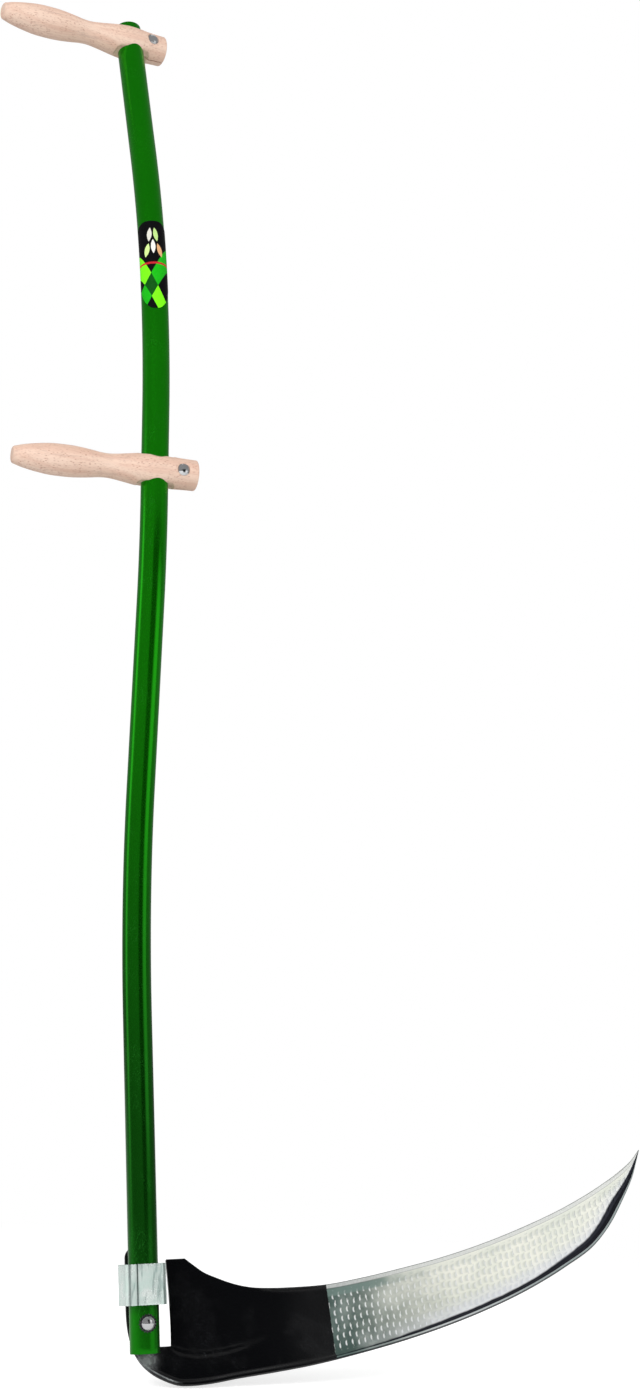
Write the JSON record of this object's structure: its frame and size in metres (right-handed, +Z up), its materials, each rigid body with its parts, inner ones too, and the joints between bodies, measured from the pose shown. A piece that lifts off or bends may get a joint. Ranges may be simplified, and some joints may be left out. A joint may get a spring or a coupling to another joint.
{
  "type": "scythe",
  "caption": "Mowing scythe with a bent green steel tube shaft, clamped beech grips that turn, and a hammered steel blade held by a bolt and a sliding band.",
  "frame": {"origin": "on the shaft's centre line, in the middle of the straight stretch between the lower handle and the blade", "axes": "+Z up the shaft's middle stretch, towards the upper handle; +X to the side the blade points to, 18 degrees off it; +Y away from the side on which the grips point forward"},
  "size_m": [0.7771, 0.2931, 1.5122],
  "materials": {
    "green_enamel": "glossy green enamel",
    "printed_film": "printed adhesive film, satin",
    "beech": "turned beech, bare, fine dark flecks along the grain",
    "plated_steel": "bright plated fasteners",
    "zinc_steel": "zinc plated sheet",
    "blade_steel": "hammered clear lacquered steel with a glossy black lacquered heel and tang"
  },
  "bodies": {
    "snath": {"snath_tube": "green_enamel", "label": "printed_film", "blade_bolt": "plated_steel", "lock_washer": "plated_steel", "blade_washer": "zinc_steel", "blade_nut": "plated_steel"},
    "upper_grip_set": {"upper_handle": "beech", "upper_handle_bolt": "plated_steel", "upper_handle_washer": "zinc_steel", "upper_handle_nut": "plated_steel"},
    "lower_grip_set": {"lower_handle": "beech", "lower_handle_bolt": "plated_steel", "lower_handle_washer": "zinc_steel", "lower_handle_nut": "plated_steel"},
    "clamp": {"clamp_band": "zinc_steel", "clamp_nuts": "zinc_steel", "clamp_screws": "plated_steel"},
    "blade": {"blade": "blade_steel"}
  },
  "joints": [
    {"name": "upper_handle_turn", "type": "hinge", "parent": "snath", "child": "upper_grip_set", "pos_m": [-0.06782, 0.08774, 0.78678], "axis": [-0.1716, 0.2221, 0.9598], "continuous": true},
    {"name": "lower_handle_turn", "type": "hinge", "parent": "snath", "child": "lower_grip_set", "pos_m": [-0.00346, 0.00447, 0.24734], "axis": [-0.0384, 0.0497, 0.998], "continuous": true},
    {"name": "clamp_slide", "type": "slide", "parent": "snath", "child": "clamp", "axis": [-0.0851, 0.1101, 0.9903], "range_m": [-0.006, 0.12]},
    {"name": "blade_angle", "type": "hinge", "parent": "snath", "child": "blade", "pos_m": [0.03624, -0.0469, -0.64061], "axis": [-0.3034, 0.9438, -0.131], "range_deg": [-2.5, 2.5]}
  ]
}
